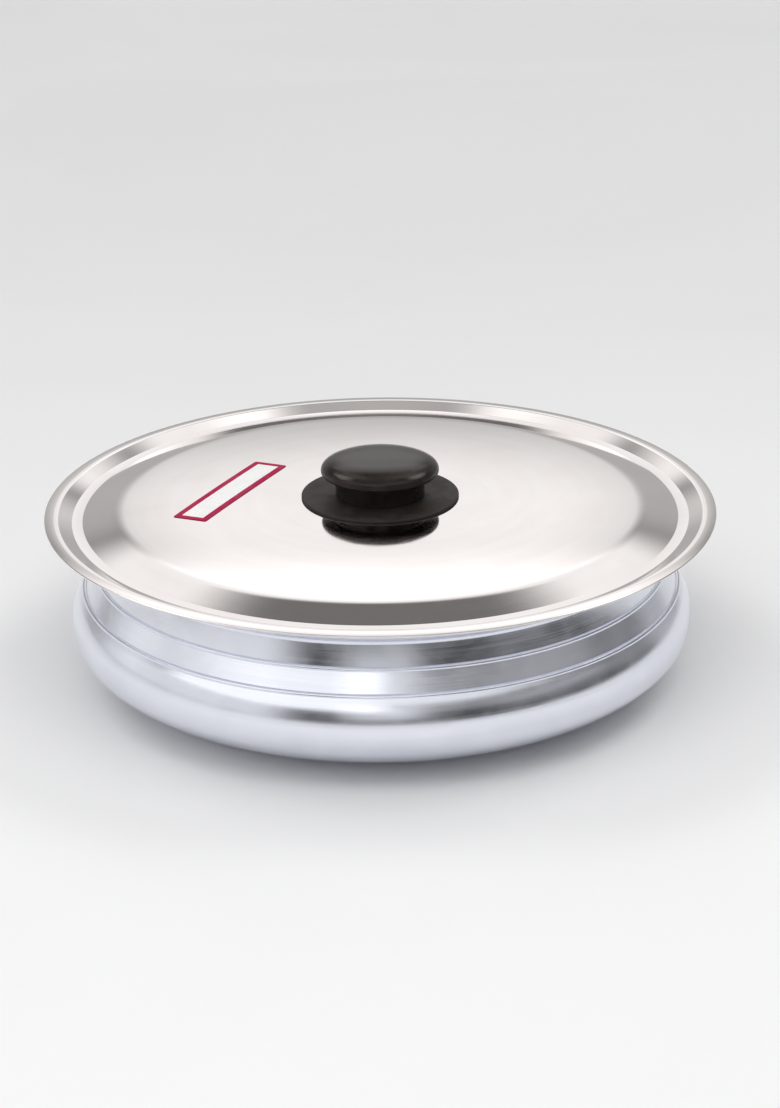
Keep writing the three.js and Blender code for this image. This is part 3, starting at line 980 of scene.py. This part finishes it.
@dataclass
class Lid:
    """The pressed lid that nests in the pot's lip, and the label on its crown."""

    sheet: float = 0.7 * MM
    seat_gap: float = 0.3 * MM
    overhang: float = 3.6 * MM
    edge_curl: float = 0.2 * MM
    channel_depth: float = 2.5 * MM
    ledge_width: float = 4.3 * MM
    shoulder_width: float = 13.9 * MM
    shoulder_rise: float = 3.1 * MM
    shoulder_fillet: float = 40 * MM
    corner_fillet: float = 0.9 * MM
    tight_fillet: float = 0.35 * MM
    crown_rise: float = 2.1 * MM
    crown_flat: float = 33 * MM
    crown_margin: float = 4 * MM
    crown_steps: int = 40
    edge_steps: int = 10
    label_length: float = 66.5 * MM
    label_width: float = 14.2 * MM
    label_thickness: float = 0.15 * MM
    label_film: float = 0.05 * MM
    label_distance: float = 59 * MM
    label_bearing: float = math.radians(171.6)
    label_turn: float = math.radians(64)
    label_corner: float = 0.7 * MM
    label_columns: int = 72
    label_rows: int = 18

    def fit(self, pot: Pot) -> None:
        """Works out the underside's corners from the lip that the lid sits in.

        Args:
            pot: The pot under the lid.
        """
        offset = pot.nose + self.seat_gap
        slope = pot.flare_slope
        self.lip_radius = pot.lip_radius
        self.rim_under = pot.nose_height + offset
        drop = offset * (1 - math.cos(slope))
        self.rim_inner = pot.nose_middle - offset * math.sin(slope) + drop / math.tan(slope)
        self.ledge_outer = self.rim_inner - self.channel_depth / math.tan(slope)
        self.ledge_under = self.rim_under - self.channel_depth
        self.ledge_inner = self.ledge_outer - self.ledge_width
        self.crown_edge = self.ledge_inner - self.shoulder_width
        self.crown_under = self.ledge_under + self.shoulder_rise + self.crown_rise

    def crown_at(self, radius: float) -> float:
        """Height of the crown's underside at a radius."""
        outward = max(radius - self.crown_flat, 0.0) / (self.crown_edge - self.crown_flat)
        return self.crown_under - self.crown_rise * outward**2

    def _underside(self) -> list[Bend]:
        """Underside of the lid, from the screw hole to the edge.

        Returns:
            The corners in order.
        """
        first, last = 2 * SCREW_HOLE, self.crown_edge - self.crown_margin
        radii = [self.crown_edge * i / self.crown_steps for i in range(1, self.crown_steps)]
        sweep, over = self.shoulder_fillet, self.corner_fillet + self.sheet
        return [
            Bend(SCREW_HOLE, self.crown_under),
            *[Bend(radius, self.crown_at(radius)) for radius in radii if first < radius < last],
            Bend(self.crown_edge, self.crown_at(self.crown_edge), sweep, sweep),
            Bend(self.ledge_inner, self.ledge_under, self.corner_fillet, self.tight_fillet),
            Bend(self.ledge_outer, self.ledge_under, self.corner_fillet, self.tight_fillet),
            Bend(self.rim_inner, self.rim_under, self.corner_fillet, over),
            Bend(self.lip_radius, self.rim_under, self.corner_fillet, self.corner_fillet),
            Bend(self.lip_radius + self.overhang - self.sheet / 2, self.rim_under - self.edge_curl),
        ]

    def _rolled_edge(self, low: Vector, high: Vector) -> list[Vector]:
        """Half-round edge between the ends of the sheet's two faces.

        Args:
            low: End of the underside.
            high: End of the upper side.

        Returns:
            The points between them.
        """
        middle = (low + high) / 2
        reach = (high - low).length / 2
        start = math.atan2(low.y - middle.y, low.x - middle.x)
        points = arc((middle.x, middle.y), reach, start, start + math.pi, self.edge_steps)
        return [Vector((point.radius, point.height)) for point in points[1:-1]]

    def build(self, effects: SharedEffects) -> None:
        """Turns the lid and dresses it.

        Args:
            effects: The shared node groups.
        """
        bends = self._underside()
        under, over = near_face(bends), far_face(bends, self.sheet)
        edge = self._rolled_edge(under[-1], over[0])
        shell = turned("lid_shell", under + edge + over, LARGE_FACETS)
        seat(shell, PolishedSteel().make(effects), Body.LID, "lid_pan")

    def _label_place(self, column: int, row: int) -> Vector:
        """Place of a grid point on the label, with the label's corners rounded off.

        Args:
            column: Number of the point along the label.
            row: Number of the point across it.

        Returns:
            The place along and across the label, from its middle.
        """
        half = Vector((self.label_length / 2, self.label_width / 2))
        along = half.x * (2 * column / self.label_columns - 1)
        across = half.y * (2 * row / self.label_rows - 1)
        past_end = abs(along) - half.x + self.label_corner
        past_side = abs(across) - half.y + self.label_corner
        if past_end > 0 and past_side > 0:
            shrink = max(past_end, past_side) / math.hypot(past_end, past_side)
            along = math.copysign(half.x - self.label_corner + past_end * shrink, along)
            across = math.copysign(half.y - self.label_corner + past_side * shrink, across)
        return Vector((along, across))

    def build_label(self, effects: SharedEffects) -> None:
        """Lays the label over the crown and dresses it. Its own X runs along it.

        Args:
            effects: The shared node groups.
        """
        middle = Matrix.Rotation(self.label_bearing, 3, "Z") @ Vector((self.label_distance, 0, 0))
        turn = Matrix.Rotation(self.label_turn, 3, "Z")
        columns, rows = self.label_columns + 1, self.label_rows + 1
        points = []
        for lift in (self.label_film, self.label_film + self.label_thickness):
            for i in range(columns * rows):
                place = self._label_place(i // rows, i % rows)
                spot = middle + turn @ place.to_3d()
                points.append(Vector((place.x, place.y, self.crown_at(spot.xy.length) + self.sheet + lift)))
        faces = []
        for i in range(self.label_columns):
            for j in range(self.label_rows):
                a = i * rows + j
                faces.append((a, a + 1, a + rows + 1, a + rows))
                faces.append(tuple(columns * rows + k for k in (a, a + rows, a + rows + 1, a + 1)))
        ends = [i * rows for i in range(columns)]
        ends += [(columns - 1) * rows + j for j in range(1, rows)]
        ends += [i * rows + rows - 1 for i in range(columns - 2, -1, -1)]
        ends += list(range(rows - 2, 0, -1))
        for a, b in zip(ends, ends[1:] + ends[:1]):
            faces.append((a, b, columns * rows + b, columns * rows + a))
        label = smooth_piece("paper_label", points, faces)
        label.matrix_world = Matrix.Translation(middle) @ turn.to_4x4()
        material = LabelPaper(self.label_length, self.label_width).make(effects)
        seat(label, material, Body.LID, "lid_label")


@dataclass
class Grip:
    """The knob with its brass insert, and the heat guard disc under it."""

    disc_edge_top: float = 0.4 * MM
    disc_edge_foot: float = 0.2 * MM
    head_radius: float = 22.9 * MM
    neck_radius: float = 17.3 * MM
    neck_height: float = 8.5 * MM
    rim_round: float = 1.1 * MM
    top_height: float = 5.7 * MM
    top_power: float = 2.6
    neck_wall: float = 4 * MM
    boss_wall: float = 3.2 * MM
    core_depth: float = 9 * MM
    throat_fillet: float = 0.8 * MM
    edge_fillet: float = 0.3 * MM
    rim_steps: int = 12
    top_steps: int = 48
    insert_radius: float = 4.65 * MM
    insert_bore: float = 2.65 * MM
    insert_length: float = 10 * MM
    insert_setback: float = 0.3 * MM
    insert_gap: float = 0.3 * MM
    insert_end_room: float = 1.2 * MM
    groove_depth: float = 0.6 * MM
    groove_width: float = 2.4 * MM
    insert_chamfer: float = 0.3 * MM
    knurl_depth: float = 0.22 * MM

    def build_disc(self, effects: SharedEffects) -> None:
        """Turns the heat guard disc and dresses it.

        Args:
            effects: The shared node groups.
        """
        low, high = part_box("heat_guard_disc")
        outline = rounded([
            Corner(SCREW_HOLE, low.z),
            Corner(high.x, low.z, self.disc_edge_foot),
            Corner(high.x, high.z, self.disc_edge_top),
            Corner(SCREW_HOLE, high.z),
        ])
        disc = turned("guard_disc", outline, KNOB_FACETS)
        seat(disc, Phenolic(Moulding.MATT).make(effects), Body.LID, "heat_guard_disc")

    def _head(self) -> list[Corner]:
        """Head of the knob, from the foot of its rim to the middle of its top.

        Returns:
            The corners in order.
        """
        widest = self.neck_height + self.rim_round
        rim_middle = (self.head_radius - self.rim_round, widest)
        rim = arc(rim_middle, self.rim_round, -math.pi / 2, 0.0, self.rim_steps)
        dome = quarter(self.top_power, self.top_steps)[1:-1]
        top = [Corner(self.head_radius * out, widest + self.top_height * up) for out, up in dome]
        return [*rim, *top, Corner(0.0, widest + self.top_height)]

    def build_knob(self, effects: SharedEffects) -> None:
        """Turns the knob, cored out from below round its boss, and dresses it.

        Args:
            effects: The shared node groups.
        """
        pocket = self.insert_radius + self.insert_gap
        pocket_top = self.insert_setback + self.insert_length + self.insert_end_room
        boss = pocket + self.boss_wall
        core = self.neck_radius - self.neck_wall
        outline = rounded([
            Corner(0.0, pocket_top),
            Corner(pocket, pocket_top, self.edge_fillet),
            Corner(pocket, 0.0, self.edge_fillet),
            Corner(boss, 0.0, self.edge_fillet),
            Corner(boss, self.core_depth, self.throat_fillet),
            Corner(core, self.core_depth, self.throat_fillet),
            Corner(core, 0.0, self.edge_fillet),
            Corner(self.neck_radius, 0.0, self.edge_fillet),
            Corner(self.neck_radius, self.neck_height, self.throat_fillet),
            *self._head(),
        ])
        knob = turned("knob_moulding", raised(outline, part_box("knob")[0].z), KNOB_FACETS)
        seat(knob, Phenolic(Moulding.SATIN).make(effects), Body.LID, "knob")

    def build_insert(self, effects: SharedEffects) -> None:
        """Turns the knurled brass insert and dresses it.

        Args:
            effects: The shared node groups.
        """
        groove_foot = (self.insert_length - self.groove_width) / 2
        groove = self.insert_radius - self.groove_depth
        outline = rounded([
            Corner(self.insert_bore, 0.0),
            Corner(self.insert_radius - self.insert_chamfer, 0.0),
            Corner(self.insert_radius, self.insert_chamfer),
            Corner(self.insert_radius, groove_foot),
            Corner(groove, groove_foot),
            Corner(groove, groove_foot + self.groove_width),
            Corner(self.insert_radius, groove_foot + self.groove_width),
            Corner(self.insert_radius, self.insert_length - self.insert_chamfer),
            Corner(self.insert_radius - self.insert_chamfer, self.insert_length),
            Corner(self.insert_bore, self.insert_length),
        ])
        knurled = [point.x > self.insert_radius - MICRON for point in outline]

        def knurl(point: int, facet: int) -> float:
            """Cuts every second facet of the lands back."""
            return -self.knurl_depth if knurled[point] and facet % 2 else 0.0

        insert = turned("brass_insert", raised(outline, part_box("knob_insert")[0].z), SMALL_FACETS, knurl)
        seat(insert, BRASS.make(effects), Body.LID, "knob_insert")


@dataclass
class Fastening:
    """The pan-head screw from under the lid, with its plain and spring washers."""

    screw_radius: float = 2.5 * MM
    head_radius: float = 4.7 * MM
    head_height: float = 3.2 * MM
    head_round: float = 1.4 * MM
    head_steps: int = 10
    tip_chamfer: float = 0.7 * MM
    pitch: float = 0.8 * MM
    thread_depth: float = 0.42 * MM
    plain_shank: float = 2.2 * MM
    thread_run: float = 0.1 * MM
    fade_runs: int = 6
    recess_length: float = 4.6 * MM
    recess_width: float = 1.1 * MM
    recess_depth: float = 1.8 * MM
    recess_taper: float = 0.62
    washer_chamfer: float = 0.18 * MM
    split: float = math.radians(14)
    split_slant: float = math.radians(9)

    def build_screw(self, material: bpy.types.Material) -> None:
        """Turns the screw, cuts its cross recess and dresses it.

        Args:
            material: Finish of the screw.
        """
        low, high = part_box("knob_screw")
        bearing = low.z + self.head_height
        round_middle = (self.head_radius - self.head_round, low.z + self.head_round)
        head = rounded([
            Corner(0.0, low.z),
            *arc(round_middle, self.head_round, -math.pi / 2, 0.0, self.head_steps),
            Corner(self.head_radius, bearing),
            Corner(self.screw_radius, bearing),
        ])
        thread_foot = bearing + self.plain_shank
        thread_end = high.z - self.tip_chamfer
        runs = round((thread_end - thread_foot) / self.thread_run)
        heights = [thread_foot + (thread_end - thread_foot) * i / runs for i in range(runs + 1)]
        shank = [Vector((self.screw_radius, height)) for height in heights]
        tip = [Vector((self.screw_radius - self.tip_chamfer, high.z)), Vector((0.0, high.z))]

        def thread(point: int, facet: int) -> float:
            """Cuts the thread's helical groove into the shank.

            Args:
                point: Number of the outline's point.
                facet: Number of the facet.

            Returns:
                The change of radius there.
            """
            run = point - len(head)
            if not 0 <= run < len(heights):
                return 0.0
            phase = (heights[run] - thread_foot) / self.pitch - facet / SMALL_FACETS
            depth = abs(2 * (phase % 1.0) - 1)
            fade = min(run, runs - run, self.fade_runs) / self.fade_runs
            return -self.thread_depth * depth * fade

        screw = turned("pan_head_screw", head + shank + tip, SMALL_FACETS, thread)
        cut(screw, self._recess(low.z))
        seat(screw, material, Body.LID, "knob_screw")

    def _recess(self, face: float) -> bpy.types.Object:
        """Cutter for the tapered cross recess.

        Args:
            face: Height of the head's outer face.

        Returns:
            The cutter.
        """
        long, short = self.recess_length / 2, self.recess_width / 2
        arm = [Vector((long, -short, 0)), Vector((long, short, 0)), Vector((short, short, 0))]
        points = []
        ends = ((face - self.recess_depth, 1.0), (face + self.recess_depth, self.recess_taper))
        for height, scale in ends:
            for k in range(4):
                turn = Matrix.Rotation(math.pi / 2 * k, 3, "Z")
                points += [turn @ (corner * scale) + Vector((0, 0, height)) for corner in arm]
        count = len(points) // 2
        faces = [tuple(range(count))[::-1], tuple(range(count, 2 * count))]
        for i in range(count):
            k = (i + 1) % count
            faces.append((i, k, count + k, count + i))
        return smooth_piece("recess_cutter", points, faces)

    def build_plain_washer(self, material: bpy.types.Material) -> None:
        """Turns the plain washer and dresses it.

        Args:
            material: Finish of the washer.
        """
        low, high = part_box("plain_washer")
        edge = self.washer_chamfer
        outline = rounded([
            Corner(SCREW_HOLE, low.z + edge),
            Corner(SCREW_HOLE + edge, low.z),
            Corner(high.x - edge, low.z),
            Corner(high.x, low.z + edge),
            Corner(high.x, high.z),
            Corner(SCREW_HOLE, high.z),
        ])
        washer = turned("flat_washer", outline, SMALL_FACETS)
        seat(washer, material, Body.LID, "plain_washer")

    def build_spring_washer(self, material: bpy.types.Material) -> None:
        """Sweeps the split spring washer round and dresses it.

        Args:
            material: Finish of the washer.
        """
        low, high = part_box("spring_washer")
        edge = self.washer_chamfer
        outer = -low.x
        middle = (low.z + high.z) / 2
        section = rounded([
            Corner(SCREW_HOLE, low.z),
            Corner(outer - edge, low.z),
            Corner(outer, low.z + edge),
            Corner(outer, high.z - edge),
            Corner(outer - edge, high.z),
            Corner(SCREW_HOLE, high.z),
        ])
        points = []
        for j in range(SMALL_FACETS + 1):
            angle = self.split / 2 + (2 * math.pi - self.split) * j / SMALL_FACETS
            for place in section:
                slant = self.split_slant * (place.y - middle) / (high.z - low.z)
                direction = Vector((math.cos(angle + slant), math.sin(angle + slant), 0))
                points.append(direction * place.x + Vector((0, 0, place.y)))
        count = len(section)
        faces = [tuple(range(count)), tuple(range(SMALL_FACETS * count, (SMALL_FACETS + 1) * count))[::-1]]
        for j in range(SMALL_FACETS):
            for i in range(count):
                a, b = j * count + i, j * count + (i + 1) % count
                faces.append((a, a + count, b + count, b))
        washer = smooth_piece("split_washer", points, faces)
        seat(washer, material, Body.LID, "spring_washer")


@dataclass(frozen=True)
class SoftPanel:
    """Bright patch of the surround, in degrees as seen from the pot. Bearing 0 is behind it, at +Y."""

    bearing: float
    height: float
    half_width: float
    half_height: float
    side_softness: float
    height_softness: float
    strength: float


@dataclass
class Studio:
    """Pale floor, soft bright panels all round, and one large lamp overhead."""

    floor_radius: float = 4.0
    floor_sides: int = 64
    lamp_size: float = 0.6
    lamp_place: tuple[float, float, float] = (0.05, -0.35, 0.75)
    lamp_power: float = 1.9
    dim: float = 0.06
    panels: tuple[SoftPanel, ...] = (
        # Behind the pot: a wide dim wall, a low strip, and the screen that the crown mirrors
        SoftPanel(0, 25, 80, 40, 12, 12, 0.12),
        SoftPanel(0, 8, 66, 16, 8, 6, 0.28),
        SoftPanel(0, 34.2, 20, 7.3, 3, 3.5, 0.85),
        SoftPanel(0, 24, 10, 8, 5, 8, 0.68),
        # High up behind, which the lid's shoulder and the knob mirror
        SoftPanel(-22.5, 53, 5.5, 10, 4, 4, 0.85),
        SoftPanel(22.5, 53, 5.5, 10, 4, 4, 0.85),
        SoftPanel(-58, 50, 22, 9, 8, 5, 3.4),
        SoftPanel(58, 50, 22, 9, 8, 5, 3.4),
        SoftPanel(0, 64, 40, 8, 8, 5, 0.3),
        # Left and right in front, which the pot mirrors
        SoftPanel(-135, 44, 45, 18, 8, 4, 1.1),
        SoftPanel(-105, 13, 40, 14, 12, 6, 0.75),
        SoftPanel(135, 54, 45, 15, 8, 6, 0.95),
        SoftPanel(135, 28, 45, 8, 8, 5, 0.22),
        SoftPanel(105, 19, 32, 10, 8, 7, 0.16),
        SoftPanel(180, 22, 14, 14, 8, 8, 0.6),
        # Overhead, and all round below the floor's edge
        SoftPanel(0, 90, 400, 22, 6, 6, 0.3),
        SoftPanel(0, -9, 400, 7.5, 6, 0.8, 0.15),
        SoftPanel(180, -9, 105, 7.5, 15, 0.8, 0.4),
    )

    def build_floor(self, effects: SharedEffects) -> None:
        """Lays the floor.

        Args:
            effects: The shared node groups.
        """
        angles = [2 * math.pi * i / self.floor_sides for i in range(self.floor_sides)]
        points = [Vector((math.cos(a), math.sin(a), 0)) * self.floor_radius for a in angles]
        floor = smooth_piece("floor", points, [tuple(range(self.floor_sides))])
        floor.data.materials.append(PaleFloor().make(effects))

    def build_lamp(self) -> None:
        """Hangs the lamp, which mirrors don't show."""
        data = bpy.data.lights.new("overhead_lamp", "AREA")
        data.size = self.lamp_size
        data.energy = self.lamp_power
        lamp = bpy.data.objects.new("overhead_lamp", data)
        lamp.location = self.lamp_place
        lamp.visible_glossy = False
        bpy.context.scene.collection.objects.link(lamp)

    def _soft_panel(self) -> bpy.types.NodeTree:
        """Group that gives how much a direction lies in a panel.

        Returns:
            The node group.
        """
        sizes = [field.name for field in fields(SoftPanel) if field.name != "strength"]
        inputs = dict.fromkeys(("seen_bearing", "seen_height", *sizes), 0.0)
        wiring, given, result = open_group("soft_panel", inputs, "Mask")
        turn = wiring.math("SUBTRACT", given["seen_bearing"], given["bearing"])
        rise = wiring.math("SUBTRACT", given["seen_height"], given["height"])
        sides = (
            (wiring.math("WRAP", turn, 180.0, -180.0), given["half_width"], given["side_softness"]),
            (rise, given["half_height"], given["height_softness"]),
        )
        shares = []
        for away, half, softness in sides:
            outer = wiring.math("ADD", half, softness)
            inner = wiring.math("SUBTRACT", half, softness)
            shares.append(wiring.ramp(wiring.math("ABSOLUTE", away), outer, inner))
        wiring.feed(result.inputs["Mask"], wiring.math("MULTIPLY", *shares))
        return wiring.tree

    def build_surround(self) -> None:
        """Paints the panels on the surround by direction."""
        world = bpy.data.worlds.new("studio")
        world.use_nodes = True
        bpy.context.scene.world = world
        wiring = Wiring(world.node_tree)
        direction = wiring.node("ShaderNodeTexCoord").outputs["Generated"]
        x, y, z = wiring.node("ShaderNodeSeparateXYZ", {0: direction}).outputs
        bearing = wiring.math("DEGREES", wiring.math("ARCTAN2", x, y))
        height = wiring.math("DEGREES", wiring.math("ARCSINE", z))
        panel_group = self._soft_panel()
        total: Feed = self.dim
        for panel in self.panels:
            sizes = asdict(panel)
            strength = sizes.pop("strength")
            mask = wiring.group(panel_group, seen_bearing=bearing, seen_height=height, **sizes)["Mask"]
            total = wiring.math("MULTIPLY_ADD", mask, strength, total)
        background = world.node_tree.nodes["Background"]
        wiring.feed(background.inputs["Strength"], total)
        background.inputs["Color"].default_value = (1.0, 1.0, 1.0, 1.0)


@dataclass
class Viewpoint:
    """Camera at the photograph's viewing angle, aimed at the middle of the lid's rim."""

    target_height: float = 67.1 * MM
    distance: float = 1.0
    elevation: float = math.radians(20.65)
    roll: float = math.radians(-0.71)
    focal_pixels: float = 2567.8
    target_pixel: tuple[float, float] = (380.3, 501.9)
    frame: tuple[int, int] = (780, 1108)
    sensor: float = 36.0

    def build(self) -> None:
        """Makes the camera and gives it to the scene."""
        data = bpy.data.cameras.new("camera")
        data.sensor_width = self.sensor
        data.lens = self.focal_pixels * self.sensor / self.frame[1]
        camera = bpy.data.objects.new("camera", data)
        back = Vector((0, -math.cos(self.elevation), math.sin(self.elevation)))
        aim = back.to_track_quat("Z", "Y").to_matrix()
        right_of_target = self.frame[0] / 2 - self.target_pixel[0]
        below_target = self.frame[1] / 2 - self.target_pixel[1]
        tilt = Matrix.Rotation(-math.atan2(below_target, self.focal_pixels), 3, "X")
        pan = Matrix.Rotation(-math.atan2(right_of_target, self.focal_pixels), 3, "Y")
        turn = aim @ Matrix.Rotation(self.roll, 3, "Z") @ pan @ tilt
        place = Vector((0, 0, self.target_height)) + back * self.distance
        camera.matrix_world = Matrix.Translation(place) @ turn.to_4x4()
        bpy.context.scene.collection.objects.link(camera)
        bpy.context.scene.camera = camera


def main() -> None:
    """Loads the frame, then builds the camera, the studio and every piece."""
    logging.basicConfig(level=logging.INFO, format="%(name)s: %(message)s")
    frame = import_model()
    bpy.context.scene.view_settings.view_transform = "Standard"
    effects = SharedEffects()
    Viewpoint().build()
    studio = Studio()
    studio.build_floor(effects)
    studio.build_lamp()
    studio.build_surround()
    pot = Pot()
    pot.build(effects)
    lid = Lid()
    lid.fit(pot)
    lid.build(effects)
    lid.build_label(effects)
    grip = Grip()
    grip.build_disc(effects)
    grip.build_knob(effects)
    grip.build_insert(effects)
    plated_steel = ZINC_PLATE.make(effects)
    fastening = Fastening()
    fastening.build_screw(plated_steel)
    fastening.build_plain_washer(plated_steel)
    fastening.build_spring_washer(plated_steel)


if __name__ == "__main__":
    main()
